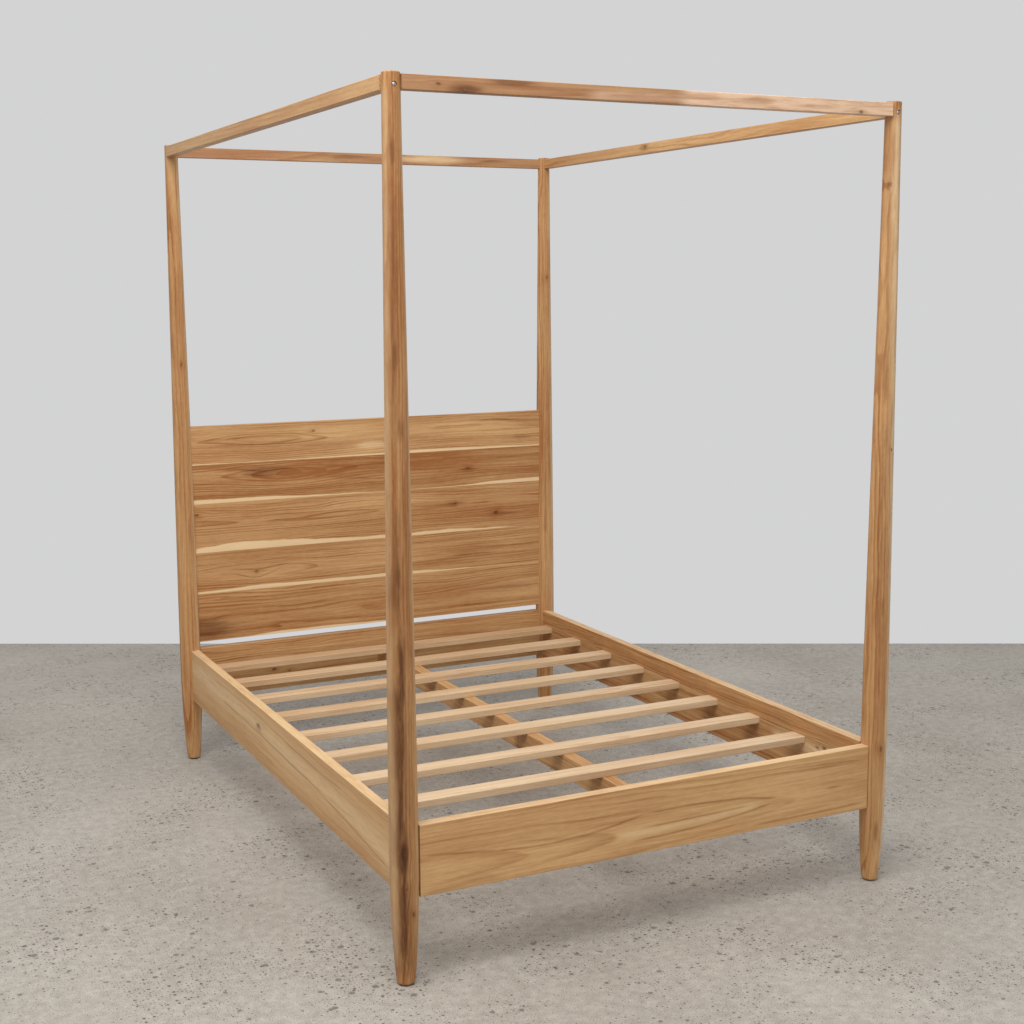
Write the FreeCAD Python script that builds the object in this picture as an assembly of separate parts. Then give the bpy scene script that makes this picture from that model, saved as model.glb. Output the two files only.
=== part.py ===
"""Four poster canopy bed: turned posts, board rails, slatted base, headboard and an open canopy frame.

Frame: origin on the floor under the middle of the bed, +X to the right seen from the foot end,
+Y from the foot end to the head end, +Z up. Millimetres.
"""
import FreeCAD, Part
import math
import os

V = FreeCAD.Vector

# Layout of the posts
POST_PITCH_X = 1464.0
POST_PITCH_Y = 2044.0
POST_TOP_Z = 2209.5
GLIDE_HEIGHT = 5.0
# Radius of the turned post against height, from the foot to the top
POST_FOOT_RADIUS = 21.8
POST_PROFILE = [
    (23.4, 9.0), (27.4, 50.0), (29.7, 85.0), (32.6, 139.0), (34.9, 200.0), (36.1, 260.0),
    (36.6, 340.0), (36.5, 430.0), (35.8, 600.0), (34.7, 760.0), (32.3, 1060.0), (29.8, 1320.0),
    (27.8, 1540.0), (26.1, 1730.0), (24.3, 1940.0), (22.9, 2110.0), (22.3, 2206.0),
]
POST_TOP_ROUND = 3.0

# Bed rails: one board section for all four sides
RAIL_TOP_Z = 412.5
RAIL_DEPTH = 186.0
RAIL_THICKNESS = 30.0
RAIL_EDGE_ROUND = 2.0
END_RAIL_OUTSET = 20.0
SIDE_RAIL_OUTSET = 5.0
# Distances from the post axis: the shoulders of the rails and the ends of their tenons
END_RAIL_SEAT = 35.0
SIDE_RAIL_SEAT = 30.0
TENON_STOP = 12.0
TENON_THICKNESS = 12.0
TENON_HEIGHT = 130.0
TENON_END_GAP = 1.0

# Slats, let into shallow mortises in the side rails
SLAT_COUNT = 9
SLAT_PITCH = 235.5
SLAT_WIDTH = 60.0
SLAT_THICKNESS = 21.0
SLAT_TOP_Z = 357.0
SLAT_EDGE_ROUND = 2.0
SLAT_BEARING = 10.0
SLAT_MORTISE_DEPTH = 12.0
SLAT_SIDE_PLAY = 2.0
SLAT_TOP_PLAY = 1.0

# Centre beam under the slats, let into the foot and head rails a little right of the middle
BEAM_WIDTH = 40.0
BEAM_OFFSET_X = 16.0
BEAM_DEPTH = 65.0
BEAM_BEARING = 11.0
BEAM_POCKET_DEPTH = 12.0
BEAM_SIDE_PLAY = 0.25
BEAM_EDGE_ROUND = 1.5

# Headboard boards, heights from the top board down
HEADBOARD_TOP_Z = 1226.0
HEADBOARD_HEIGHTS = [140.0, 142.0, 179.0, 151.0, 177.0]
HEADBOARD_THICKNESS = 24.0
HEADBOARD_SEAT = 24.0
BOARD_EDGE_CHAMFER = 0.7

# Canopy frame
CANOPY_TOP_Z = 2204.0
CANOPY_DEPTH = 35.0
CANOPY_THICKNESS = 31.0
CANOPY_OUTSET = 22.0
CANOPY_SEAT = 19.0
CANOPY_EDGE_ROUND = 1.5

# Bolts that draw the side canopy rails onto the posts
BOLT_Z = 2180.0
BOLT_SHANK_R = 3.0
BOLT_HOLE_R = 3.3
BOLT_HEAD_R = 5.6
BOLT_HEAD_HEIGHT = 3.3
BOLT_HEAD_SEAT = 18.5
BOLT_REACH = 34.0
BOLT_SOCKET_FLATS = 4.0
BOLT_SOCKET_DEPTH = 2.0
COUNTERBORE_R = 6.5
INSERT_R = 4.9
INSERT_HOLE_R = 5.0
INSERT_BORE_R = 3.1
INSERT_LENGTH = 15.0
BOLT_RELIEF = 10.0

# Dowels in the ends of the foot and head canopy rails
DOWEL_R = 4.0
DOWEL_HOLE_R = 4.1
DOWEL_IN_POST = 12.0
DOWEL_IN_RAIL = 24.0
DOWEL_HOLE_EXTRA = 1.0
DOWEL_RISE = 8.0

# Floor glides
GLIDE_R = 14.0
GLIDE_CHAMFER = 1.0
GLIDE_PIN_R = 2.5
GLIDE_PIN_HOLE_R = 2.6
GLIDE_PIN_LENGTH = 18.0
GLIDE_PIN_HOLE_EXTRA = 2.0

HALF_X = POST_PITCH_X / 2
HALF_Y = POST_PITCH_Y / 2
RAIL_BOTTOM_Z = RAIL_TOP_Z - RAIL_DEPTH
CANOPY_BOTTOM_Z = CANOPY_TOP_Z - CANOPY_DEPTH
SLAT_BOTTOM_Z = SLAT_TOP_Z - SLAT_THICKNESS
END_RAIL_INNER_Y = HALF_Y + END_RAIL_OUTSET - RAIL_THICKNESS
SIDE_RAIL_INNER_X = HALF_X + SIDE_RAIL_OUTSET - RAIL_THICKNESS
HEADBOARD_BOTTOM_Z = HEADBOARD_TOP_Z - sum(HEADBOARD_HEIGHTS)
CLEAR = 5.0


def box(x0, x1, y0, y1, z0, z1):
    """Box between two corners."""
    return Part.makeBox(x1 - x0, y1 - y0, z1 - z0, V(x0, y0, z0))


def rod(radius, start, end):
    """Cylinder from one point to another."""
    line = end.sub(start)
    return Part.makeCylinder(radius, line.Length, start, line)


def mirrored(shape, flip_x, flip_y):
    """Shape mirrored across the bed's middle planes."""
    if flip_x:
        shape = shape.mirror(V(0, 0, 0), V(1, 0, 0))
    if flip_y:
        shape = shape.mirror(V(0, 0, 0), V(0, 1, 0))
    return shape


def long_edges(shape, axis):
    """Straight edges of a bar that run along its length."""
    found = []
    for edge in shape.Edges:
        way = edge.tangentAt(edge.FirstParameter)
        if abs(abs(way.dot(axis)) - 1) < 1e-6:
            found.append(edge)
    return found


def eased_bar(x0, x1, y0, y1, z0, z1, radius):
    """Rectangular bar with its long edges rounded over."""
    bar = box(x0, x1, y0, y1, z0, z1)
    lengths = [(x1 - x0, V(1, 0, 0)), (y1 - y0, V(0, 1, 0)), (z1 - z0, V(0, 0, 1))]
    axis = max(lengths, key=lambda item: item[0])[1]
    return bar.makeFillet(radius, long_edges(bar, axis))


def save(name, shape):
    """Write one named piece."""
    shape.exportStep("parts/%s.step" % name)


def post_blank():
    """Turned post about its own axis, standing on its glide."""
    points = [V(r, 0, z) for r, z in POST_PROFILE]
    side = Part.BSplineCurve()
    side.interpolate(points)
    last_r, last_z = POST_PROFILE[-1]
    crown_r = last_r - POST_TOP_ROUND
    crown = Part.Arc(
        V(last_r, 0, last_z),
        V(last_r - POST_TOP_ROUND * (1 - math.cos(math.pi / 4)), 0,
          last_z + (POST_TOP_Z - last_z) * math.sin(math.pi / 4)),
        V(crown_r, 0, POST_TOP_Z),
    )
    edges = [
        Part.makeLine(V(0, 0, GLIDE_HEIGHT), V(POST_FOOT_RADIUS, 0, GLIDE_HEIGHT)),
        Part.makeLine(V(POST_FOOT_RADIUS, 0, GLIDE_HEIGHT), points[0]),
        side.toShape(),
        crown.toShape(),
        Part.makeLine(V(crown_r, 0, POST_TOP_Z), V(0, 0, POST_TOP_Z)),
        Part.makeLine(V(0, 0, POST_TOP_Z), V(0, 0, GLIDE_HEIGHT)),
    ]
    return Part.Face(Part.Wire(edges)).revolve(V(0, 0, 0), V(0, 0, 1), 360)


def tenon_span():
    """Height range of the bed rail tenons."""
    middle = (RAIL_TOP_Z + RAIL_BOTTOM_Z) / 2
    return middle - TENON_HEIGHT / 2, middle + TENON_HEIGHT / 2


def dowel_places():
    """Offset across and height of the dowels in an end canopy rail, from the post axis."""
    across = CANOPY_THICKNESS / 2 - CANOPY_OUTSET
    middle = (CANOPY_TOP_Z + CANOPY_BOTTOM_Z) / 2
    return [(across, middle - DOWEL_RISE), (across, middle + DOWEL_RISE)]


def post_local(with_headboard):
    """Post cut for its rails: +X leads to the end rail, +Y to the side rail."""
    post = post_blank()
    far = POST_FOOT_RADIUS * 2
    low, high = tenon_span()
    end_in = RAIL_THICKNESS - END_RAIL_OUTSET
    side_in = RAIL_THICKNESS - SIDE_RAIL_OUTSET
    canopy_in = CANOPY_THICKNESS - CANOPY_OUTSET
    end_mid = (end_in - END_RAIL_OUTSET) / 2
    side_mid = (side_in - SIDE_RAIL_OUTSET) / 2
    half = TENON_THICKNESS / 2
    deep = TENON_STOP - TENON_END_GAP
    top = POST_TOP_Z + CLEAR
    cuts = [
        box(END_RAIL_SEAT, far, -END_RAIL_OUTSET, end_in, RAIL_BOTTOM_Z, RAIL_TOP_Z),
        box(-SIDE_RAIL_OUTSET, side_in, SIDE_RAIL_SEAT, far, RAIL_BOTTOM_Z, RAIL_TOP_Z),
        box(deep, far, end_mid - half, end_mid + half, low, high),
        box(side_mid - half, side_mid + half, deep, far, low, high),
        box(CANOPY_SEAT, far, -CANOPY_OUTSET, canopy_in, CANOPY_BOTTOM_Z, top),
        box(-CANOPY_OUTSET, canopy_in, CANOPY_SEAT, far, CANOPY_BOTTOM_Z, top),
        rod(BOLT_HOLE_R, V(0, -far, BOLT_Z), V(0, far, BOLT_Z)),
        rod(COUNTERBORE_R, V(0, -far, BOLT_Z), V(0, -BOLT_HEAD_SEAT, BOLT_Z)),
        rod(GLIDE_PIN_HOLE_R, V(0, 0, 0), V(0, 0, GLIDE_HEIGHT + GLIDE_PIN_LENGTH + GLIDE_PIN_HOLE_EXTRA)),
    ]
    for across, height in dowel_places():
        inner = CANOPY_SEAT - DOWEL_IN_POST - DOWEL_HOLE_EXTRA
        cuts.append(rod(DOWEL_HOLE_R, V(inner, across, height), V(far, across, height)))
    if with_headboard:
        half_board = HEADBOARD_THICKNESS / 2
        cuts.append(box(HEADBOARD_SEAT, far, -half_board, half_board, HEADBOARD_BOTTOM_Z, HEADBOARD_TOP_Z))
    return post.cut(cuts)


def make_posts():
    """Four posts, each mirrored from the foot-left one."""
    foot = post_local(False).translated(V(-HALF_X, -HALF_Y, 0))
    head = post_local(True).translated(V(-HALF_X, -HALF_Y, 0))
    save("post_foot_left", foot)
    save("post_foot_right", mirrored(foot, True, False))
    save("post_head_left", mirrored(head, False, True))
    save("post_head_right", mirrored(head, True, True))


def make_glides():
    """Round floor glides with a pin up into each post."""
    disc = Part.makeCylinder(GLIDE_R, GLIDE_HEIGHT)
    rim = [edge for edge in disc.Edges if edge.BoundBox.ZMax < 1e-6 and len(edge.Vertexes) == 1]
    disc = disc.makeChamfer(GLIDE_CHAMFER, rim)
    pin = rod(GLIDE_PIN_R, V(0, 0, GLIDE_HEIGHT / 2), V(0, 0, GLIDE_HEIGHT + GLIDE_PIN_LENGTH))
    glide = disc.fuse(pin).removeSplitter().translated(V(-HALF_X, -HALF_Y, 0))
    for name, flip_x, flip_y in CORNERS:
        save("glide_" + name, mirrored(glide, flip_x, flip_y))


def make_side_rails():
    """Long rails with tenons at the ends and a row of slat mortises inside."""
    low, high = tenon_span()
    end = HALF_Y - SIDE_RAIL_SEAT
    outer = -HALF_X - SIDE_RAIL_OUTSET
    inner = outer + RAIL_THICKNESS
    middle = (outer + inner) / 2
    rail = eased_bar(outer, inner, -end, end, RAIL_BOTTOM_Z, RAIL_TOP_Z, RAIL_EDGE_ROUND)
    half = TENON_THICKNESS / 2
    reach = HALF_Y - TENON_STOP
    rail = rail.fuse([
        box(middle - half, middle + half, end - CLEAR, reach, low, high),
        box(middle - half, middle + half, -reach, -end + CLEAR, low, high),
    ]).removeSplitter()
    cuts = []
    half_slot = SLAT_WIDTH / 2 + SLAT_SIDE_PLAY
    for y in slat_centres():
        cuts.append(box(inner - SLAT_MORTISE_DEPTH, inner + CLEAR, y - half_slot, y + half_slot,
                        SLAT_BOTTOM_Z, SLAT_TOP_Z + SLAT_TOP_PLAY))
    rail = rail.cut(cuts)
    save("side_rail_left", rail)
    save("side_rail_right", mirrored(rail, True, False))


def make_end_rails():
    """Foot and head rails with tenons and a pocket for the centre beam."""
    low, high = tenon_span()
    end = HALF_X - END_RAIL_SEAT
    outer = -HALF_Y - END_RAIL_OUTSET
    inner = outer + RAIL_THICKNESS
    middle = (outer + inner) / 2
    rail = eased_bar(-end, end, outer, inner, RAIL_BOTTOM_Z, RAIL_TOP_Z, RAIL_EDGE_ROUND)
    half = TENON_THICKNESS / 2
    reach = HALF_X - TENON_STOP
    rail = rail.fuse([
        box(end - CLEAR, reach, middle - half, middle + half, low, high),
        box(-reach, -end + CLEAR, middle - half, middle + half, low, high),
    ]).removeSplitter()
    half_pocket = BEAM_WIDTH / 2 + BEAM_SIDE_PLAY
    rail = rail.cut(box(BEAM_OFFSET_X - half_pocket, BEAM_OFFSET_X + half_pocket,
                        inner - BEAM_POCKET_DEPTH, inner + CLEAR,
                        SLAT_BOTTOM_Z - BEAM_DEPTH, SLAT_BOTTOM_Z + BEAM_SIDE_PLAY))
    save("foot_rail", rail)
    save("head_rail", mirrored(rail, False, True))


def slat_centres():
    """Slat positions along the bed, from the foot end."""
    return [(i - (SLAT_COUNT - 1) / 2) * SLAT_PITCH for i in range(SLAT_COUNT)]


def make_slats():
    """Cross slats with softened edges and slightly rounded end corners."""
    reach = SIDE_RAIL_INNER_X + SLAT_BEARING
    for number, y in enumerate(slat_centres(), start=1):
        slat = eased_bar(-reach, reach, y - SLAT_WIDTH / 2, y + SLAT_WIDTH / 2,
                         SLAT_BOTTOM_Z, SLAT_TOP_Z, SLAT_EDGE_ROUND)
        save("slat_%d" % number, slat)


def make_centre_beam():
    """Beam that carries the middle of every slat."""
    reach = END_RAIL_INNER_Y + BEAM_BEARING
    beam = eased_bar(BEAM_OFFSET_X - BEAM_WIDTH / 2, BEAM_OFFSET_X + BEAM_WIDTH / 2, -reach, reach,
                     SLAT_BOTTOM_Z - BEAM_DEPTH, SLAT_BOTTOM_Z, BEAM_EDGE_ROUND)
    save("centre_beam", beam)


def make_headboard():
    """Five wide boards edge to edge between the head posts."""
    reach = HALF_X - HEADBOARD_SEAT
    half = HEADBOARD_THICKNESS / 2
    top = HEADBOARD_TOP_Z
    for number, height in enumerate(HEADBOARD_HEIGHTS, start=1):
        board = box(-reach, reach, HALF_Y - half, HALF_Y + half, top - height, top)
        board = board.makeChamfer(BOARD_EDGE_CHAMFER, long_edges(board, V(1, 0, 0)))
        save("headboard_board_%d" % number, board)
        top -= height


def make_canopy():
    """Canopy frame: end rails dowelled, side rails bolted through the posts."""
    outer_y = -HALF_Y - CANOPY_OUTSET
    end_x = HALF_X - CANOPY_SEAT
    end_rail = eased_bar(-end_x, end_x, outer_y, outer_y + CANOPY_THICKNESS,
                         CANOPY_BOTTOM_Z, CANOPY_TOP_Z, CANOPY_EDGE_ROUND)
    dowels = []
    for across, height in dowel_places():
        for side in (-1, 1):
            seat = side * end_x
            y = -HALF_Y + across
            deep = seat - side * (DOWEL_IN_RAIL + DOWEL_HOLE_EXTRA)
            end_rail = end_rail.cut(rod(DOWEL_HOLE_R, V(seat + side, y, height), V(deep, y, height)))
            start = V(seat + side * DOWEL_IN_POST, y, height)
            stop = V(seat - side * DOWEL_IN_RAIL, y, height)
            dowels.append(rod(DOWEL_R, start, stop))
    save("canopy_rail_foot", end_rail)
    save("canopy_rail_head", mirrored(end_rail, False, True))
    dowels += [mirrored(dowel, False, True) for dowel in dowels]
    save("canopy_dowels", Part.makeCompound(dowels))

    outer_x = -HALF_X - CANOPY_OUTSET
    end_y = HALF_Y - CANOPY_SEAT
    side_rail = eased_bar(outer_x, outer_x + CANOPY_THICKNESS, -end_y, end_y,
                          CANOPY_BOTTOM_Z, CANOPY_TOP_Z, CANOPY_EDGE_ROUND)
    for side in (-1, 1):
        seat = V(-HALF_X, side * (end_y + 1), BOLT_Z)
        insert_end = V(-HALF_X, side * (end_y - INSERT_LENGTH - 1), BOLT_Z)
        relief_end = V(-HALF_X, side * (end_y - INSERT_LENGTH - BOLT_RELIEF), BOLT_Z)
        side_rail = side_rail.cut(rod(INSERT_HOLE_R, seat, insert_end))
        side_rail = side_rail.cut(rod(BOLT_HOLE_R, seat, relief_end))
    save("canopy_rail_left", side_rail)
    save("canopy_rail_right", mirrored(side_rail, True, False))

    sleeve_start = V(-HALF_X, -end_y, BOLT_Z)
    sleeve_end = V(-HALF_X, -end_y + INSERT_LENGTH, BOLT_Z)
    sleeve = rod(INSERT_R, sleeve_start, sleeve_end).cut(rod(INSERT_BORE_R, sleeve_start, sleeve_end))
    save("canopy_inserts", Part.makeCompound([mirrored(sleeve, fx, fy) for name, fx, fy in CORNERS]))


def make_bolts():
    """Button-head bolts through the posts into the side canopy rails."""
    head_y = -HALF_Y - BOLT_HEAD_SEAT
    rim = BOLT_HEAD_HEIGHT * 0.25
    profile = [
        Part.makeLine(V(0, 0, 0), V(BOLT_HEAD_R, 0, 0)),
        Part.makeLine(V(BOLT_HEAD_R, 0, 0), V(BOLT_HEAD_R, 0, rim)),
        Part.Arc(V(BOLT_HEAD_R, 0, rim), V(BOLT_HEAD_R * 0.72, 0, BOLT_HEAD_HEIGHT * 0.78),
                 V(BOLT_HEAD_R * 0.36, 0, BOLT_HEAD_HEIGHT)).toShape(),
        Part.makeLine(V(BOLT_HEAD_R * 0.36, 0, BOLT_HEAD_HEIGHT), V(0, 0, BOLT_HEAD_HEIGHT)),
        Part.makeLine(V(0, 0, BOLT_HEAD_HEIGHT), V(0, 0, 0)),
    ]
    head = Part.Face(Part.Wire(profile)).revolve(V(0, 0, 0), V(0, 0, 1), 360)
    corner = BOLT_SOCKET_FLATS / math.sqrt(3)
    ring = [V(corner * math.cos(i * math.pi / 3), corner * math.sin(i * math.pi / 3), 0) for i in range(7)]
    socket = Part.Face(Part.makePolygon(ring)).extrude(V(0, 0, BOLT_SOCKET_DEPTH + 1))
    socket = socket.translated(V(0, 0, BOLT_HEAD_HEIGHT - BOLT_SOCKET_DEPTH))
    shank = Part.makeCylinder(BOLT_SHANK_R, BOLT_HEAD_SEAT + BOLT_REACH, V(0, 0, 0), V(0, 0, -1))
    bolt = head.cut(socket).fuse(shank).removeSplitter()
    bolt.rotate(V(0, 0, 0), V(1, 0, 0), 90)
    bolt = bolt.translated(V(-HALF_X, head_y, BOLT_Z))
    for name, flip_x, flip_y in CORNERS:
        save("canopy_bolt_" + name, mirrored(bolt, flip_x, flip_y))


CORNERS = [
    ("foot_left", False, False),
    ("foot_right", True, False),
    ("head_left", False, True),
    ("head_right", True, True),
]

os.makedirs("parts", exist_ok=True)
make_posts()
make_glides()
make_side_rails()
make_end_rails()
make_slats()
make_centre_beam()
make_headboard()
make_canopy()
make_bolts()
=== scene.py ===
import bpy
import math
import random
from mathutils import Matrix, Vector


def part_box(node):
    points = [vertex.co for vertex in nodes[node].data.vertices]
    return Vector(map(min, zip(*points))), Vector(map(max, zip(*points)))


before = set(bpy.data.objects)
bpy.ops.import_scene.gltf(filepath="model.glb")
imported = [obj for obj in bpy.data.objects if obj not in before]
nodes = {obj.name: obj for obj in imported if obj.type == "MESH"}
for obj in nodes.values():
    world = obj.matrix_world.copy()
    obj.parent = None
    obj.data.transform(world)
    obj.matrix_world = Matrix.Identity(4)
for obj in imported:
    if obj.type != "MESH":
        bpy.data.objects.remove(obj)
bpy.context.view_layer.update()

# Axis numbers in the row frame
X, Y, Z = 0, 1, 2


class Graph:
    """Short calls for building one material's nodes."""

    def __init__(self, name):
        self.mat = bpy.data.materials.new(name)
        self.mat.use_nodes = True
        self.tree = self.mat.node_tree
        self.tree.nodes.clear()

    def node(self, kind, **settings):
        made = self.tree.nodes.new(kind)
        for key, value in settings.items():
            setattr(made, key, value)
        return made

    def feed(self, socket, value):
        if isinstance(value, bpy.types.NodeSocket):
            self.tree.links.new(value, socket)
        else:
            socket.default_value = value

    def math(self, op, a, b=0.0, c=0.0, clamp=False):
        made = self.node("ShaderNodeMath", operation=op, use_clamp=clamp)
        for socket, value in zip(made.inputs, (a, b, c)):
            self.feed(socket, value)
        return made.outputs[0]

    def add(self, a, b):
        return self.math("ADD", a, b)

    def sub(self, a, b):
        return self.math("SUBTRACT", a, b)

    def mul(self, a, b):
        return self.math("MULTIPLY", a, b)

    def total(self, values):
        out = values[0]
        for value in values[1:]:
            out = self.add(out, value)
        return out

    def vec(self, a, b, c):
        made = self.node("ShaderNodeCombineXYZ")
        for socket, value in zip(made.inputs, (a, b, c)):
            self.feed(socket, value)
        return made.outputs[0]

    def noise(self, vector, scale=1.0, detail=2.0, rough=0.5, distortion=0.0):
        made = self.node("ShaderNodeTexNoise")
        self.feed(made.inputs["Vector"], vector)
        made.inputs["Scale"].default_value = scale
        made.inputs["Detail"].default_value = detail
        made.inputs["Roughness"].default_value = rough
        made.inputs["Distortion"].default_value = distortion
        return made.outputs[0]

    def step(self, value, low, high, to_low=0.0, to_high=1.0):
        made = self.node("ShaderNodeMapRange", interpolation_type="SMOOTHSTEP")
        for socket, number in zip(made.inputs, (value, low, high, to_low, to_high)):
            self.feed(socket, number)
        return made.outputs[0]

    def bump_at(self, offset, width):
        """Soft bell that is 1 where offset is 0."""
        scaled = self.mul(offset, 1.0 / width)
        return self.math("POWER", math.e, self.mul(self.mul(scaled, scaled), -1.0))

    def mix(self, factor, a, b, blend="MIX"):
        made = self.node("ShaderNodeMix", data_type="RGBA", blend_type=blend)
        self.feed(made.inputs[0], factor)
        self.feed(made.inputs[6], a)
        self.feed(made.inputs[7], b)
        return made.outputs[2]

    def curve(self, value, points):
        """Smooth height from 0 to 1 through (place, height) points."""
        made = self.node("ShaderNodeValToRGB")
        ramp = made.color_ramp
        ramp.interpolation = "B_SPLINE"
        while len(ramp.elements) < len(points):
            ramp.elements.new(0.5)
        for element, (place, height) in zip(ramp.elements, points):
            element.position = place
            element.color = (height, height, height, 1.0)
        self.feed(made.inputs[0], value)
        split = self.node("ShaderNodeSeparateColor")
        self.feed(split.inputs[0], made.outputs[0])
        return split.outputs[0]


def srgb(red, green, blue):
    """Linear colour of an 8-bit display colour."""
    return tuple(((c / 255 + 0.055) / 1.055) ** 2.4 for c in (red, green, blue)) + (1.0,)


# Timber colours
HEART_LIGHT = srgb(204, 164, 114)
HEART_DARK = srgb(142, 88, 42)
SAPWOOD = srgb(226, 198, 156)
BLUSH = srgb(226, 193, 164)
WEATHERED = srgb(158, 120, 92)
ROSY = srgb(186, 124, 80)
KNOT = srgb(72, 44, 27)
GLUE_LINE = srgb(96, 60, 34)
SLAT_LIGHT = srgb(213, 188, 155)
SLAT_DARK = srgb(176, 136, 94)
# Colours of the small parts and of the studio
ZINC = srgb(205, 205, 208)
GLIDE_BLACK = srgb(26, 25, 24)
DUST = srgb(58, 56, 52)
CONCRETE_DARK = srgb(138, 131, 121)
CONCRETE_LIGHT = srgb(186, 180, 171)
CONCRETE_PIT = srgb(74, 68, 60)
BACKDROP = srgb(211, 211, 212)
# Dark figure is laid over the timber as a filter, so that it keeps the timber's warmth
STREAK = (0.40, 0.29, 0.20, 1.0)
LATE_LINE = (0.62, 0.50, 0.38, 1.0)
FILTERS = (STREAK, LATE_LINE)

# How far each kind of figure moves the timber from its light colour towards its dark one
LATE_DEPTH = 0.50
STREAK_DEPTH = 0.95
CLOUD_DEPTH = 0.90
FIBRE_DEPTH = 0.45
FLECK_DEPTH = 0.42
GRAIN_DEPTH = 0.60
PORE_DEPTH = 0.14
HALO_DEPTH = 0.35
STAVE_DEPTH = 0.10
# Drawn bands fade in and out over this length, and wander sideways by no more than this
BAND_FADE = 0.06
BAND_WANDER = 0.006
GLUE_LINE_WIDTH = 0.0009
# Surface finish
WOOD_SPECULAR = 0.30
WOOD_BUMP = 0.22
WOOD_RELIEF = 0.0006


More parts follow.
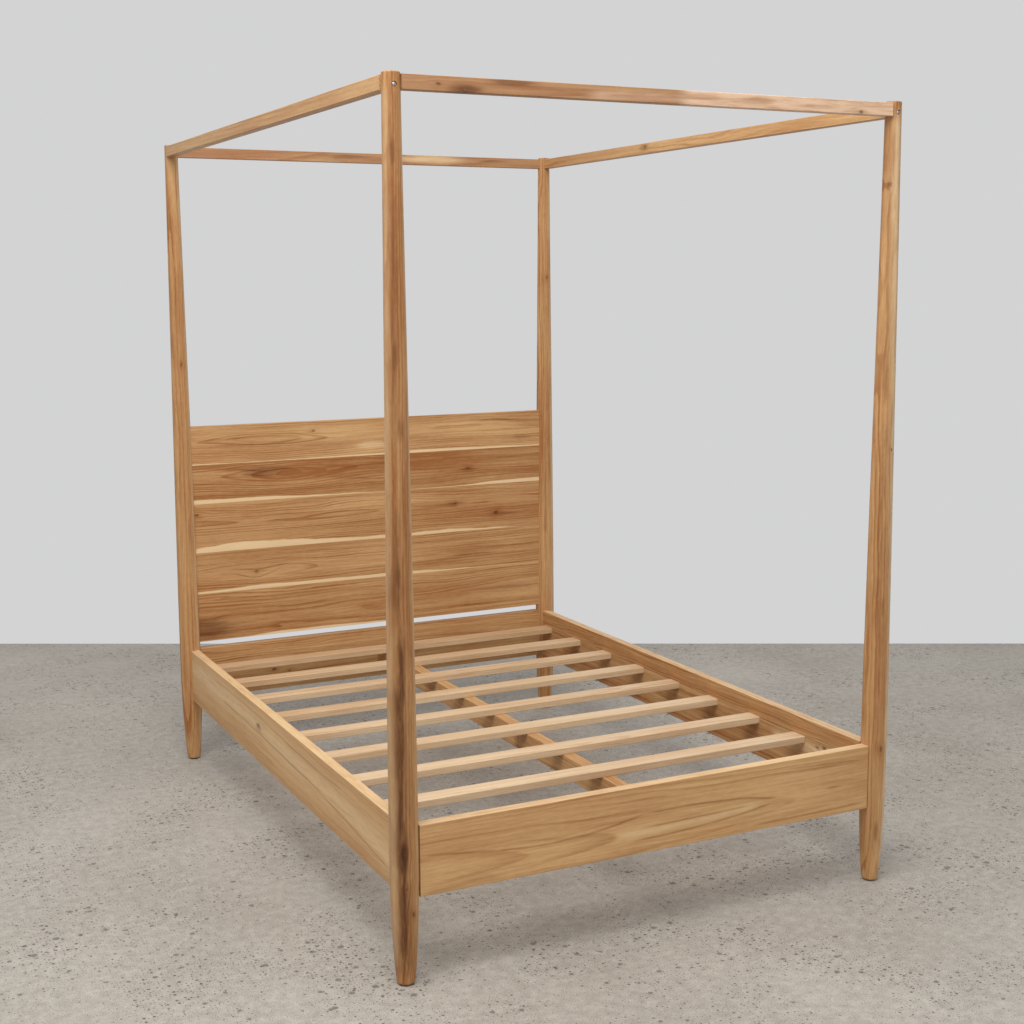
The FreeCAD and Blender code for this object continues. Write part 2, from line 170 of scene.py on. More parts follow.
def wood(name, along, across, seed, pith=(0.0, 0.05), tilt=(0.0, 0.0), eye=(0.0, 0.0, 0.3), ring=0.0065,
         tone=0.5, light=HEART_LIGHT, dark=HEART_DARK, contrast=1.0, sway=0.012, joints=(), stripes=(),
         bands=(), patches=(), knots=(), centre=(0.0, 0.0), sheen=0.50):
    """Solid timber whose grain runs along one axis.

    pith is the ring centre across and through the board, and tilt its drift per metre. eye is closed
    figure: its place along the board, its stretch and its reach. ring is the width of a growth ring.
    joints are glue lines across the board. centre is the timber's middle across and through. Drawn
    features, in metres:
    stripes, sapwood along an edge: (height, side, thickness, points)
    bands, soft lines of one colour: (colour, strength, half width, points)
    patches, broken soft areas: (colour, strength, along, across, half length, half width)
    knots: (along, across, radius, strength)
    """
    g = Graph(name)
    through = 3 - along - across
    place = g.node("ShaderNodeTexCoord").outputs["Object"]
    split = g.node("ShaderNodeSeparateXYZ")
    g.feed(split.inputs[0], place)
    u = split.outputs[along]
    v = g.sub(split.outputs[across], centre[0])
    w = g.sub(split.outputs[through], centre[1])

    # Each glued stave is its own piece of timber
    stave = 0.0
    glue = 0.0
    if joints:
        lines = [g.math("GREATER_THAN", v, joint) for joint in joints]
        stave = g.total(lines)
        glue = g.total([g.bump_at(g.sub(v, joint), GLUE_LINE_WIDTH) for joint in joints])
    us = g.add(g.add(u, seed * 7.31), g.mul(stave, 3.7))
    vs = g.add(v, seed * 1.93)

    def grainy(height, stretch, detail, rough=0.5):
        """Noise with stretch cycles per metre along, across and through the board."""
        at = g.vec(g.mul(us, stretch[0]), g.mul(height, stretch[1]), g.mul(w, stretch[2]))
        return g.noise(at, 1.0, detail, rough)

    # Slow sway of the grain, and the way it parts around knots
    slow = grainy(vs, (1.5, 9.0, 9.0), 2.0)
    quick = g.noise(g.vec(g.mul(us, 4.0), g.mul(vs, 26.0), g.add(g.mul(w, 20.0), 5.0)), 1.0, 2.0)
    shift = g.add(g.mul(g.sub(slow, 0.5), sway * 4.0), g.mul(g.sub(quick, 0.5), sway * 0.9))
    ragged = g.sub(grainy(vs, (70.0, 150.0, 60.0), 3.0), 0.5)
    turned = shift
    cores = []
    halos = []
    for at_u, at_v, radius, strength in knots:
        du = g.mul(g.sub(u, at_u), 0.6)
        dv = g.sub(v, at_v)
        far = g.math("SQRT", g.add(g.mul(du, du), g.mul(dv, dv)))
        swell = g.mul(g.bump_at(far, radius * 3.0), radius * 1.1)
        turned = g.add(turned, g.mul(swell, g.math("TANH", g.mul(dv, 1.0 / radius))))
        edge = g.add(far, g.mul(ragged, radius * 1.3))
        cores.append(g.mul(g.step(edge, radius, radius * 0.45), strength))
        halos.append(g.mul(g.bump_at(far, radius * 2.4), strength * HALO_DEPTH))

    # Growth rings
    dv = g.sub(g.sub(g.sub(v, pith[0]), g.mul(u, tilt[0])), turned)
    dw = g.add(g.sub(g.sub(w, pith[1]), g.mul(u, tilt[1])), g.mul(shift, 0.6))
    if joints:
        dw = g.add(dw, g.mul(stave, 0.031))
    parts = [g.mul(dv, dv), g.mul(dw, dw)]
    if eye[1]:
        du = g.mul(g.math("TANH", g.mul(g.sub(u, eye[0]), 1.0 / eye[2])), eye[1] * eye[2])
        parts.append(g.mul(du, du))
    radius = g.math("SQRT", g.total(parts))
    count = g.mul(radius, 1.0 / ring)
    phase = g.math("FRACT", count)
    each = g.math("FLOOR", count)
    weight = g.noise(g.vec(g.mul(each, 0.73), g.mul(us, 0.9), seed * 1.0), 1.0, 1.0)
    late = g.mul(g.step(phase, 0.30, 0.92), g.step(phase, 1.0, 0.93))
    late = g.mul(late, g.step(weight, 0.34, 0.72, 0.12, 1.0))

    # Fibres, pores and slow changes of tone
    line = g.sub(vs, g.sub(turned, g.mul(shift, 0.2)))
    fibre = grainy(line, (9.0, 330.0, 330.0), 3.0, 0.6)
    streak = grainy(line, (1.1, 55.0, 55.0), 3.0, 0.55)
    pore = g.step(grainy(vs, (70.0, 1500.0, 1500.0), 1.0), 0.60, 0.74)
    fleck = grainy(vs, (32.0, 210.0, 210.0), 2.0, 0.6)
    grain = grainy(line, (3.6, 170.0, 170.0), 2.0, 0.6)
    cloud = grainy(vs, (1.9, 7.0, 7.0), 2.0)
    depth = g.total([
        tone - 0.5,
        g.mul(late, LATE_DEPTH * contrast),
        g.mul(streak, STREAK_DEPTH * contrast),
        g.mul(g.sub(cloud, 0.5), CLOUD_DEPTH * contrast),
        g.mul(g.sub(fibre, 0.5), FIBRE_DEPTH),
        g.mul(g.sub(fleck, 0.5), FLECK_DEPTH),
        g.mul(g.sub(grain, 0.5), GRAIN_DEPTH),
        g.mul(pore, PORE_DEPTH),
        g.total(halos) if halos else 0.0,
    ])
    if joints:
        depth = g.add(depth, g.mul(g.math("SINE", g.add(g.mul(stave, 2.3), seed)), STAVE_DEPTH))
    depth = g.math("ADD", depth, 0.0, clamp=True)
    colour = g.mix(depth, light, dark)
    colour = g.mix(g.step(cloud, 0.42, 0.70, 0.0, 0.08), colour, ROSY)

    def along_curve(points):
        """Value of a smooth curve through (along, value) points."""
        low = min(place for place, value in points)
        high = max(place for place, value in points)
        least = min(value for place, value in points)
        most = max(value for place, value in points) + 1e-6
        run = g.mul(g.sub(u, low), 1.0 / (high - low))
        shape = [((place - low) / (high - low), (value - least) / (most - least)) for place, value in points]
        return g.add(g.mul(g.curve(run, shape), most - least), least)

    # Pale sapwood along an edge
    for height, side, thickness, points in stripes:
        reach = g.mul(along_curve(points), thickness)
        wander = g.mul(g.sub(g.noise(g.vec(g.mul(us, 7.0), seed * 2.0, 0.0), 1.0, 3.0), 0.5), thickness * 0.5)
        gap = g.mul(g.sub(v, height), side)
        edge = g.sub(g.add(reach, g.mul(wander, g.step(reach, 0.0, thickness * 0.3))), gap)
        pale = g.mul(g.step(edge, -0.0010, 0.0030), g.sub(1.0, g.mul(fibre, 0.30)))
        colour = g.mix(pale, colour, SAPWOOD)

    # Soft bands and patches, broken up by the grain
    loose = g.mul(g.sub(g.noise(g.vec(g.mul(us, 5.0), g.mul(w, 12.0), seed * 3.0), 1.0, 3.0), 0.5), 2.4)
    broken = grainy(line, (12.0, 90.0, 60.0), 3.0, 0.65)
    for tint, strength, half, points in bands:
        low = min(place for place, value in points)
        high = max(place for place, value in points)
        ends = g.mul(g.step(u, low, low + BAND_FADE), g.step(u, high, high - BAND_FADE))
        offset = g.add(g.sub(v, along_curve(points)), g.mul(loose, min(half, BAND_WANDER)))
        soft = g.mul(g.bump_at(offset, half), g.step(broken, 0.25, 0.62, 0.45, 1.0))
        blend = "MULTIPLY" if tint in FILTERS else "MIX"
        colour = g.mix(g.mul(g.mul(soft, ends), strength), colour, tint, blend)
    for tint, strength, at_u, at_v, half_u, half_v in patches:
        spread = g.mul(g.bump_at(g.sub(u, at_u), half_u), g.bump_at(g.sub(v, at_v), half_v))
        soft = g.step(g.mul(spread, g.add(broken, 0.55)), 0.12, 0.95)
        blend = "MULTIPLY" if tint in FILTERS else "MIX"
        colour = g.mix(g.mul(soft, strength), colour, tint, blend)

    # Knots and glue lines lie over everything else
    if knots:
        heart = g.mix(g.step(ragged, -0.1, 0.25), KNOT, HEART_DARK)
        colour = g.mix(g.math("MINIMUM", g.total(cores), 0.92), colour, heart)
    if joints:
        colour = g.mix(g.mul(glue, 0.55), colour, GLUE_LINE)

    shader = g.node("ShaderNodeBsdfPrincipled")
    g.feed(shader.inputs["Base Color"], colour)
    g.feed(shader.inputs["Roughness"], g.add(sheen, g.mul(g.sub(fibre, 0.5), 0.16)))
    shader.inputs["Specular IOR Level"].default_value = WOOD_SPECULAR
    relief = g.total([g.mul(late, -0.25), g.mul(fibre, 0.5), g.mul(pore, -0.6)])
    bump = g.node("ShaderNodeBump")
    bump.inputs["Strength"].default_value = WOOD_BUMP
    bump.inputs["Distance"].default_value = WOOD_RELIEF
    g.feed(bump.inputs["Height"], relief)
    g.feed(shader.inputs["Normal"], bump.outputs[0])
    out = g.node("ShaderNodeOutputMaterial")
    g.feed(out.inputs[0], shader.outputs[0])
    return g.mat


def paint(name, material):
    """Gives a CAD node its finished material."""
    slots = nodes[name].data.materials
    slots.clear()
    slots.append(material)


# Headboard: five boards, top one first, pale sapwood along the joints
BOARDS = [
    dict(seed=1, pith=(1.171, 1.026), tilt=(0.004, 0.006), eye=(-0.387, 0.11, 0.26), tone=0.36,
         stripes=[(0, 1, 0.014, [(-0.71, 0.45), (-0.55, 0.2), (-0.30, 0.3), (0.0, 0.6), (0.2, 0.95),
                                 (0.45, 0.7), (0.71, 0.3)])],
         bands=[(LATE_LINE, 0.9, 0.003, [(0.42, 1.192), (0.50, 1.206), (0.60, 1.190)]),
                (LATE_LINE, 0.8, 0.003, [(-0.62, 1.166), (-0.50, 1.184), (-0.38, 1.182), (-0.27, 1.172)]),
                (LATE_LINE, 0.8, 0.003, [(-0.62, 1.160), (-0.50, 1.148), (-0.38, 1.152), (-0.27, 1.166)])],
         patches=[(SAPWOOD, 0.45, -0.011, 1.126, 0.07, 0.016), (LATE_LINE, 0.5, 0.62, 1.126, 0.05, 0.012)],
         knots=[(-0.242, 1.190, 0.006, 0.5)]),
    dict(seed=2, pith=(1.040, 1.024), tilt=(0.0, -0.006), eye=(-0.36, 0.15, 0.24), tone=0.66,
         stripes=[(0, 1, 0.017, [(-0.71, 0.9), (-0.55, 0.95), (-0.40, 0.8), (-0.30, 0.5), (-0.10, 0.25),
                                 (0.10, 0.12), (0.37, 0.2), (0.49, 0.8), (0.71, 1.0)])],
         bands=[(LATE_LINE, 0.9, 0.004, [(-0.62, 1.060), (-0.52, 1.066), (-0.44, 1.046), (-0.36, 1.062),
                                         (-0.28, 1.040)]),
                (LATE_LINE, 0.8, 0.003, [(-0.54, 1.052), (-0.44, 1.028), (-0.35, 1.046)]),
                (LATE_LINE, 0.8, 0.003, [(-0.20, 1.028), (-0.15, 1.042), (-0.05, 1.052), (0.12, 1.056)]),
                (LATE_LINE, 0.8, 0.003, [(-0.20, 1.024), (-0.15, 1.010), (-0.05, 1.000), (0.12, 0.996)])],
         patches=[(STREAK, 0.45, -0.443, 1.051, 0.09, 0.018), (STREAK, 0.5, 0.38, 1.009, 0.05, 0.004)],
         knots=[(0.387, 1.012, 0.006, 0.85)]),
    dict(seed=3, pith=(0.872, 1.034), tilt=(0.006, 0.008), eye=(-0.178, 0.07, 0.25), tone=0.48,
         stripes=[(0, 1, 0.034, [(-0.71, 0.42), (-0.58, 0.9), (-0.42, 0.95), (-0.2, 0.45), (0.02, 0.3),
                                 (0.20, 0.38), (0.37, 0.38), (0.50, 0.22), (0.60, 0.05), (0.71, 0.0)])],
         patches=[(STREAK, 0.6, 0.335, 0.878, 0.05, 0.005), (STREAK, 0.5, 0.55, 0.824, 0.05, 0.004)],
         knots=[(0.332, 0.878, 0.005, 0.8), (0.509, 0.829, 0.008, 0.9), (-0.692, 0.904, 0.006, 0.8)]),
    dict(seed=4, pith=(0.676, 1.026), tilt=(0.0, 0.006), eye=(-0.47, 0.13, 0.22), tone=0.50,
         stripes=[(0, 1, 0.018, [(-0.71, 0.4), (-0.57, 0.68), (-0.42, 0.95), (-0.2, 0.68), (0.02, 0.8),
                                 (0.20, 0.65), (0.37, 0.22), (0.50, 0.14), (0.71, 0.14)])],
         bands=[(STREAK, 0.75, 0.0028, [(-0.60, 0.690), (-0.56, 0.699), (-0.47, 0.682), (-0.38, 0.702),
                                        (-0.33, 0.698)]),
                (STREAK, 0.65, 0.0028, [(-0.59, 0.686), (-0.53, 0.668), (-0.48, 0.654), (-0.43, 0.668),
                                        (-0.36, 0.694)]),
                (STREAK, 0.75, 0.003, [(0.30, 0.668), (0.42, 0.673), (0.52, 0.667)])],
         knots=[(-0.476, 0.680, 0.006, 0.6)]),
    dict(seed=5, pith=(0.500, 1.120), tilt=(0.004, 0.0), tone=0.50,
         stripes=[(0, 1, 0.014, [(-0.71, 0.0), (-0.5, 0.2), (-0.4, 0.9), (0.0, 0.6), (0.1, 0.0),
                                 (0.71, 0.0)])],
         patches=[(STREAK, 0.85, -0.68, 0.480, 0.13, 0.045), (STREAK, 0.4, 0.56, 0.525, 0.17, 0.009)],
         knots=[(-0.397, 0.467, 0.006, 0.3)]),
]
for number, spec in enumerate(BOARDS, start=1):
    node = "headboard_board_%d" % number
    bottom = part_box(node)[0][Z]
    settings = dict(spec)
    settings["stripes"] = [(bottom + height, side, size, points)
                           for height, side, size, points in spec["stripes"]]
    paint(node, wood(node + "_wood", X, Z, **settings))

# Foot and head rails, with a painted highlight along the top of the foot rail
RAIL_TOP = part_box("foot_rail")[1][Z]
# Painted highlight: a pale sapwood-coloured band at the height of the rail tops colours the top faces and the
# upper edge of the faces, standing in for light from above
TOP_EDGE_HIGHLIGHT = (SAPWOOD, 0.55, 0.0018, [(-1.1, RAIL_TOP), (1.1, RAIL_TOP)])
paint("foot_rail", wood(
    "foot_rail_wood", X, Z, seed=11, pith=(0.290, -1.026), tilt=(0.004, 0.0), eye=(-1.20, 0.055, 3.0),
    ring=0.012, tone=0.34, contrast=0.75, sway=0.010,
    bands=[TOP_EDGE_HIGHLIGHT,
           (LATE_LINE, 1.0, 0.0032, [(-0.70, 0.338), (-0.48, 0.306), (-0.23, 0.297), (-0.03, 0.344)]),
           (LATE_LINE, 1.0, 0.0030, [(-0.10, 0.262), (0.10, 0.268), (0.26, 0.280), (0.39, 0.304)]),
           (LATE_LINE, 1.0, 0.0030, [(-0.06, 0.334), (0.12, 0.336), (0.28, 0.326), (0.39, 0.304)]),
           (SAPWOOD, 0.40, 0.011, [(-0.16, 0.285), (0.06, 0.284), (0.22, 0.292), (0.34, 0.303)]),
           (LATE_LINE, 0.9, 0.0026, [(-0.06, 0.296), (0.10, 0.298), (0.22, 0.300), (0.30, 0.302)]),
           (LATE_LINE, 0.8, 0.0035, [(0.30, 0.243), (0.45, 0.241), (0.70, 0.247)]),
           (LATE_LINE, 0.7, 0.0026, [(0.40, 0.386), (0.51, 0.384), (0.70, 0.372)]),
           (STREAK, 0.35, 0.012, [(-0.71, 0.236), (-0.58, 0.240), (-0.45, 0.250)])],
    patches=[(STREAK, 0.55, 0.575, 0.309, 0.03, 0.004)]))
paint("head_rail", wood(
    "head_rail_wood", X, Z, seed=12, pith=(0.330, 1.10), tilt=(0.004, 0.01), eye=(-0.5, 0.06, 0.3),
    tone=0.38, joints=(0.335,), knots=[(-0.42, 0.30, 0.007, 0.7), (-0.36, 0.29, 0.006, 0.6)]))

# Side rails, glued up from staves, with the same painted highlight along their tops
paint("side_rail_left", wood(
    "side_rail_left_wood", Y, Z, seed=13, pith=(0.345, -0.76), tilt=(0.010, 0.004), eye=(0.1, 0.05, 0.4),
    ring=0.010, tone=0.34, contrast=0.62,
    bands=[TOP_EDGE_HIGHLIGHT,
           (SAPWOOD, 0.55, 0.040, [(-1.02, 0.290), (-0.872, 0.300), (-0.577, 0.335), (-0.236, 0.325),
                                   (0.154, 0.350), (0.614, 0.352), (1.02, 0.350)]),
           (LATE_LINE, 0.80, 0.0035, [(-0.95, 0.262), (-0.60, 0.300), (-0.30, 0.312), (0.10, 0.326),
                                      (0.60, 0.330)]),
           (LATE_LINE, 0.60, 0.0030, [(-0.60, 0.372), (-0.25, 0.366), (0.15, 0.384), (0.70, 0.380)]),
           (HEART_DARK, 0.35, 0.022, [(-1.02, 0.235), (-0.3, 0.240), (0.4, 0.236), (1.02, 0.24)])],
    patches=[(STREAK, 0.55, 0.17, 0.345, 0.03, 0.012)], knots=[(0.17, 0.350, 0.008, 0.6)]))
paint("side_rail_right", wood(
    "side_rail_right_wood", Y, Z, seed=14, pith=(0.300, 0.80), tilt=(-0.02, 0.012), eye=(-0.4, 0.05, 0.3),
    ring=0.008, tone=0.50, joints=(0.356,),
    bands=[TOP_EDGE_HIGHLIGHT,
           (HEART_DARK, 0.4, 0.018, [(-1.02, 0.382), (0.0, 0.380), (1.02, 0.384)]),
           (SAPWOOD, 0.75, 0.020, [(-1.02, 0.333), (-0.75, 0.330), (-0.55, 0.318)])],
    knots=[(-0.832, 0.345, 0.009, 0.75), (-0.795, 0.338, 0.008, 0.65)]))

# Canopy rails; the foot one turns from dull brown to pale along its length
paint("canopy_rail_foot", wood(
    "canopy_rail_foot_wood", X, Z, seed=15, pith=(2.18, -1.06), tilt=(0.002, 0.01), eye=(-0.5, 0.05, 0.3),
    tone=0.56,
    bands=[(WEATHERED, 0.55, 0.10, [(-0.78, 2.186), (0.20, 2.186)]),
           (BLUSH, 0.92, 0.10, [(0.02, 2.186), (0.35, 2.186), (1.2, 2.186)]),
           (BLUSH, 0.45, 0.010, [(-0.25, 2.180), (0.0, 2.186), (0.2, 2.190)]),
           (LATE_LINE, 0.50, 0.0030, [(-0.20, 2.180), (0.10, 2.186), (0.30, 2.194)])],
    patches=[(STREAK, 0.85, -0.556, 2.176, 0.050, 0.013), (STREAK, 0.75, -0.43, 2.197, 0.07, 0.008),
             (LATE_LINE, 0.65, 0.10, 2.190, 0.07, 0.009), (LATE_LINE, 0.60, 0.277, 2.191, 0.06, 0.007),
             (LATE_LINE, 0.45, 0.46, 2.182, 0.08, 0.006)],
    knots=[(-0.624, 2.185, 0.005, 0.6), (-0.556, 2.175, 0.007, 0.6), (0.604, 2.175, 0.005, 0.7)]))
paint("canopy_rail_head", wood(
    "canopy_rail_head_wood", X, Z, seed=16, pith=(2.17, 1.07), tilt=(0.002, -0.02), eye=(0.2, 0.05, 0.3),
    tone=0.66,
    bands=[(WEATHERED, 0.55, 0.10, [(-0.78, 2.186), (0.78, 2.186)])],
    patches=[(SAPWOOD, 0.55, 0.25, 2.19, 0.14, 0.016), (STREAK, 0.45, -0.1, 2.19, 0.10, 0.008),
             (STREAK, 0.45, 0.5, 2.19, 0.07, 0.006)]))
paint("canopy_rail_left", wood(
    "canopy_rail_left_wood", Y, Z, seed=17, pith=(2.15, -0.82), tilt=(0.0, 0.01), tone=0.36, contrast=0.7))
paint("canopy_rail_right", wood(
    "canopy_rail_right_wood", Y, Z, seed=18, pith=(2.15, 0.80), tilt=(0.0, 0.01), tone=0.42, contrast=0.7,
    patches=[(STREAK, 0.45, 0.26, 2.190, 0.03, 0.012)], knots=[(0.25, 2.191, 0.006, 0.7)]))

# Posts: upright grain about each post's own axis, bands given by height and place across
POSTS = {
    "post_foot_left": dict(
        seed=21, pith=(0.055, 0.020), tilt=(0.010, 0.006), tone=0.66, contrast=0.9,
        bands=[(STREAK, 0.80, 0.010, [(0.05, -0.010), (0.20, -0.014), (0.33, -0.016), (0.48, -0.019),
                                      (0.62, -0.015), (0.78, -0.012), (0.92, -0.008)]),
               (STREAK, 0.85, 0.022, [(0.00, -0.012), (0.20, -0.014), (0.48, -0.016), (0.80, -0.017)]),
               (LATE_LINE, 0.70, 0.020, [(0.70, -0.015), (0.90, -0.016), (1.05, -0.016)]),
               (LATE_LINE, 0.50, 0.018, [(0.95, -0.016), (1.30, -0.014), (1.70, -0.012), (2.20, -0.010)]),
               (STREAK, 0.60, 0.006, [(0.72, -0.004), (0.85, -0.010), (0.98, -0.016), (1.10, -0.018),
                                      (1.22, -0.010)]),
               (STREAK, 0.35, 0.006, [(0.80, 0.016), (1.00, 0.010), (1.30, 0.004)]),
               (STREAK, 0.30, 0.008, [(1.35, -0.012), (1.55, -0.016), (1.75, -0.010), (1.95, -0.012)]),
               (SAPWOOD, 0.38, 0.008, [(0.02, 0.030), (0.60, 0.034), (1.10, 0.030), (1.70, 0.026),
                                       (2.20, 0.021)]),
               (SAPWOOD, 0.30, 0.008, [(0.02, -0.030), (0.60, -0.036), (1.10, -0.033), (1.70, -0.027),
                                       (2.20, -0.022)])],
        patches=[(STREAK, 0.65, 0.345, -0.014, 0.05, 0.012), (STREAK, 0.60, 1.045, -0.014, 0.035, 0.005),
                 (STREAK, 0.60, 2.03, -0.008, 0.035, 0.007), (STREAK, 0.45, 1.56, -0.010, 0.04, 0.006),
                 (STREAK, 0.45, 1.39, -0.002, 0.03, 0.010)],
        knots=[(0.190, 0.010, 0.005, 0.7), (0.262, -0.008, 0.004, 0.7), (0.352, -0.010, 0.006, 0.5)]),
    "post_foot_right": dict(
        seed=22, pith=(0.060, -0.012), tilt=(0.006, 0.004), tone=0.56, contrast=0.85,
        bands=[(SAPWOOD, 0.72, 0.013, [(0.02, 0.014), (0.60, 0.022), (1.10, 0.018), (1.50, 0.010),
                                       (1.75, 0.002), (1.95, -0.002), (2.20, 0.002)]),
               (STREAK, 0.35, 0.011, [(0.05, -0.020), (0.45, -0.020), (0.90, -0.022), (1.20, -0.016),
                                      (1.35, -0.012)]),
               (STREAK, 0.30, 0.007, [(1.40, -0.020), (1.70, -0.018), (2.0, -0.016), (2.15, -0.014)])],
        patches=[(STREAK, 0.55, 0.155, -0.008, 0.035, 0.007), (STREAK, 0.40, 0.82, -0.010, 0.03, 0.005),
                 (STREAK, 0.35, 1.45, -0.014, 0.06, 0.005)],
        knots=[(0.405, -0.004, 0.006, 0.55), (1.265, 0.006, 0.0035, 0.9), (1.99, -0.016, 0.005, 0.4)]),
    "post_head_left": dict(
        seed=23, pith=(0.05, 0.03), tilt=(0.005, 0.002), tone=0.54, contrast=0.85,
        bands=[(SAPWOOD, 0.45, 0.007, [(0.02, 0.022), (1.0, 0.028), (2.2, 0.018)]),
               (STREAK, 0.25, 0.008, [(0.7, -0.004), (1.2, -0.010), (1.8, -0.006)])],
        patches=[(STREAK, 0.40, 0.85, 0.006, 0.06, 0.006)], knots=[(1.45, 0.0, 0.005, 0.5)]),
    "post_head_right": dict(
        seed=24, pith=(0.05, -0.03), tilt=(0.004, 0.003), tone=0.63, contrast=0.85,
        bands=[(SAPWOOD, 0.45, 0.007, [(0.02, 0.016), (1.0, 0.022), (2.2, 0.012)]),
               (STREAK, 0.28, 0.008, [(0.7, -0.012), (1.2, -0.016), (1.8, -0.012)])],
        patches=[(STREAK, 0.35, 1.0, 0.006, 0.06, 0.006)], knots=[(1.75, 0.0, 0.005, 0.5)]),
}
for node, spec in POSTS.items():
    low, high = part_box(node)
    middle = ((low[X] + high[X]) / 2, (low[Y] + high[Y]) / 2)
    paint(node, wood(node + "_wood", Z, X, centre=middle, **spec))

# Slats and the beam under them: paler, plainer timber
SLAT_TONES = [0.34, 0.26, 0.24, 0.36, 0.40, 0.42, 0.44, 0.54, 0.60]
SLAT_SEED = 30
random.seed(7)
for number, tone in enumerate(SLAT_TONES, start=1):
    node = "slat_%d" % number
    low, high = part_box(node)
    middle = ((low[Y] + high[Y]) / 2, (low[Z] + high[Z]) / 2)
    paint(node, wood(
        node + "_wood", X, Y, seed=SLAT_SEED + number, centre=middle, tone=tone,
        pith=(random.uniform(-0.03, 0.03), -0.06),
        tilt=(random.uniform(-0.01, 0.01), random.uniform(-0.02, 0.02)),
        light=SLAT_LIGHT, dark=SLAT_DARK, contrast=0.8, ring=0.006))
paint("centre_beam", wood(
    "centre_beam_wood", Y, X, seed=45, pith=(0.05, 0.30), tone=0.46, contrast=0.8,
    knots=[(-0.2, 0.0, 0.006, 0.5)]))
paint("canopy_dowels", wood(
    "dowel_wood", X, Z, seed=46, tone=0.2, light=SLAT_LIGHT, dark=SLAT_DARK, contrast=0.4))


def fine_finish(g, colour, rough, height, strength, metallic=0.0):
    """Closes a small part's material, with a fine grain 0.2 mm deep."""
    shader = g.node("ShaderNodeBsdfPrincipled")
    g.feed(shader.inputs["Base Color"], colour)
    shader.inputs["Metallic"].default_value = metallic
    g.feed(shader.inputs["Roughness"], rough)
    bump = g.node("ShaderNodeBump")
    bump.inputs["Strength"].default_value = strength
    bump.inputs["Distance"].default_value = 0.0002
    g.feed(bump.inputs["Height"], height)
    g.feed(shader.inputs["Normal"], bump.outputs[0])
    g.feed(g.node("ShaderNodeOutputMaterial").inputs[0], shader.outputs[0])
    return g.mat


def metal(name, colour, rough):
    """Zinc-plated steel with faint scuffs."""
    g = Graph(name)
    place = g.node("ShaderNodeTexCoord").outputs["Object"]
    cloudy = g.noise(place, 900.0, 3.0, 0.6)
    scuffed = g.mix(cloudy, colour, tuple(c * 0.7 for c in colour[:3]) + (1.0,))
    uneven = g.add(rough, g.mul(g.sub(cloudy, 0.5), 0.2))
    return fine_finish(g, scuffed, uneven, cloudy, 0.15, metallic=1.0)


def moulded(name, colour):
    """Matt moulded plastic with a fine grain."""
    g = Graph(name)
    place = g.node("ShaderNodeTexCoord").outputs["Object"]
    grain = g.noise(place, 2200.0, 2.0, 0.5)
    dust = g.noise(place, 90.0, 3.0, 0.6)
    dusty = g.mix(g.step(dust, 0.5, 0.8), colour, DUST)
    return fine_finish(g, dusty, g.add(0.5, g.mul(dust, 0.25)), grain, 0.3)


zinc = metal("zinc_plate", ZINC, 0.32)
black = moulded("glide_black", GLIDE_BLACK)
paint("canopy_inserts", zinc)
for corner in ("foot_left", "foot_right", "head_left", "head_right"):
    paint("canopy_bolt_" + corner, zinc)
    paint("glide_" + corner, black)

# Smooth shading, with every edge sharper than this kept crisp
CRISP_EDGE = math.radians(32)
for obj in nodes.values():
    mesh = obj.data
    mesh.shade_smooth()
    mesh.set_sharp_from_angle(angle=CRISP_EDGE)

# Camera at the viewing angle of the photograph
EYE = Vector((-2.0728, -4.3352, 1.7327))
YAW = math.radians(26.39)
PITCH = math.radians(8.648)
ROLL = math.radians(-0.3266)
LENS_MM = 53.16152
SENSOR_MM = 36.0
look = Vector((math.sin(YAW) * math.cos(PITCH), math.cos(YAW) * math.cos(PITCH), -math.sin(PITCH)))
side = Vector((math.cos(YAW), -math.sin(YAW), 0.0))
upright = side.cross(look)
right = math.cos(ROLL) * side + math.sin(ROLL) * upright
up = -math.sin(ROLL) * side + math.cos(ROLL) * upright
camera_data = bpy.data.cameras.new("camera")
camera = bpy.data.objects.new("camera", camera_data)
bpy.context.collection.objects.link(camera)
turn = Matrix((right, up, -look)).transposed().to_4x4()
camera.matrix_world = Matrix.Translation(EYE) @ turn
camera_data.sensor_width = SENSOR_MM
camera_data.lens = LENS_MM
camera_data.clip_end = 200.0
bpy.context.scene.camera = camera

# Floor: pale pitted concrete, whose far edge runs slightly askew to the camera
STUDIO_DEPTH = 7.15
STUDIO_SIDE = 12.0
STUDIO_FRONT = 8.0
STUDIO_SKEW = 0.28
# Pits by size: cells per metre, radius in cells and darkness
PITS = ((15.0, 0.20, 0.65), (42.0, 0.27, 0.85), (95.0, 0.33, 0.80))
ahead = Vector((math.sin(YAW), math.cos(YAW), 0.0))
ground = Vector((EYE.x, EYE.y, 0.0))
corners = [
    ground + ahead * (STUDIO_DEPTH + STUDIO_SKEW) - side * STUDIO_SIDE,
    ground + ahead * (STUDIO_DEPTH - STUDIO_SKEW) + side * STUDIO_SIDE,
    ground - ahead * STUDIO_FRONT + side * STUDIO_SIDE,
    ground - ahead * STUDIO_FRONT - side * STUDIO_SIDE,
]
floor_mesh = bpy.data.meshes.new("floor")
floor_mesh.from_pydata([tuple(corner) for corner in corners], [], [(0, 3, 2, 1)])
floor = bpy.data.objects.new("floor", floor_mesh)
bpy.context.collection.objects.link(floor)
g = Graph("floor_concrete")
place = g.node("ShaderNodeTexCoord").outputs["Object"]
patch = g.noise(place, 1.3, 4.0, 0.55)
mottle = g.noise(place, 30.0, 5.0, 0.75)
sand = g.noise(place, 330.0, 2.0, 0.7)
cluster = g.noise(place, 3.2, 3.0, 0.6)
shade = g.total([g.mul(patch, 0.25), g.mul(mottle, 0.40), g.mul(sand, 0.60)])
colour = g.mix(g.step(shade, 0.46, 0.82), CONCRETE_DARK, CONCRETE_LIGHT)
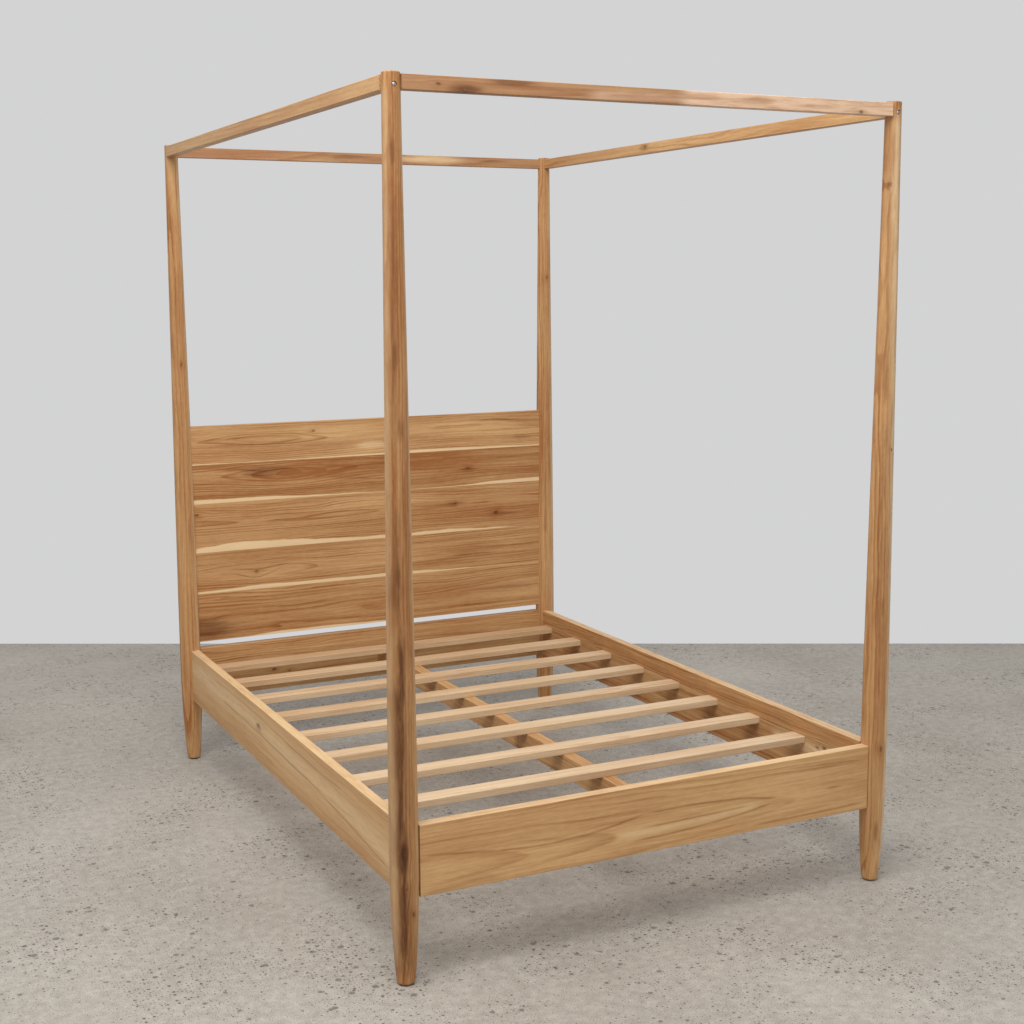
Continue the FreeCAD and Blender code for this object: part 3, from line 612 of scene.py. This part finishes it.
for cells, size, darkness in PITS:
    spots = g.node("ShaderNodeTexVoronoi", voronoi_dimensions="2D")
    g.feed(spots.inputs["Vector"], place)
    spots.inputs["Scale"].default_value = cells
    cell = g.node("ShaderNodeSeparateColor")
    g.feed(cell.inputs[0], spots.outputs["Color"])
    wide = g.mul(g.mul(g.step(cell.outputs[0], 0.15, 1.0), g.step(cluster, 0.36, 0.66, 0.35, 1.0)), size)
    pit = g.step(g.add(spots.outputs["Distance"], g.mul(g.sub(sand, 0.5), 0.10)), wide, g.mul(wide, 0.45))
    colour = g.mix(g.mul(pit, darkness), colour, CONCRETE_PIT)
shader = g.node("ShaderNodeBsdfPrincipled")
g.feed(shader.inputs["Base Color"], colour)
g.feed(shader.inputs["Roughness"], g.add(0.55, g.mul(mottle, 0.2)))
g.feed(g.node("ShaderNodeOutputMaterial").inputs[0], shader.outputs[0])
floor_mesh.materials.append(g.mat)

# Soft studio light
world = bpy.data.worlds.new("studio")
bpy.context.scene.world = world
world.use_nodes = True
tree = world.node_tree
tree.nodes.clear()
backdrop = tree.nodes.new("ShaderNodeBackground")
backdrop.inputs[0].default_value = BACKDROP
backdrop.inputs[1].default_value = 1.0
world_out = tree.nodes.new("ShaderNodeOutputWorld")
tree.links.new(backdrop.outputs[0], world_out.inputs[0])


def softbox(name, place, target, width, height, power, colour=(1.0, 1.0, 1.0)):
    """Rectangular area light aimed at a point."""
    data = bpy.data.lights.new(name, "AREA")
    data.shape = "RECTANGLE"
    data.size = width
    data.size_y = height
    data.energy = power
    data.color = colour
    lamp = bpy.data.objects.new(name, data)
    bpy.context.collection.objects.link(lamp)
    lamp.location = place
    lamp.rotation_mode = "QUATERNION"
    lamp.rotation_quaternion = (Vector(target) - Vector(place)).to_track_quat("-Z", "Y")


softbox("key", (-1.6, -1.8, 4.6), (0.0, 0.0, 0.4), 3.0, 3.0, 190.0, (1.0, 0.985, 0.96))
softbox("front", (-1.5, -7.0, 2.6), (0.0, 0.0, 1.0), 5.0, 3.0, 60.0)

view = bpy.context.scene.view_settings
view.view_transform = "Standard"
view.look = "None"
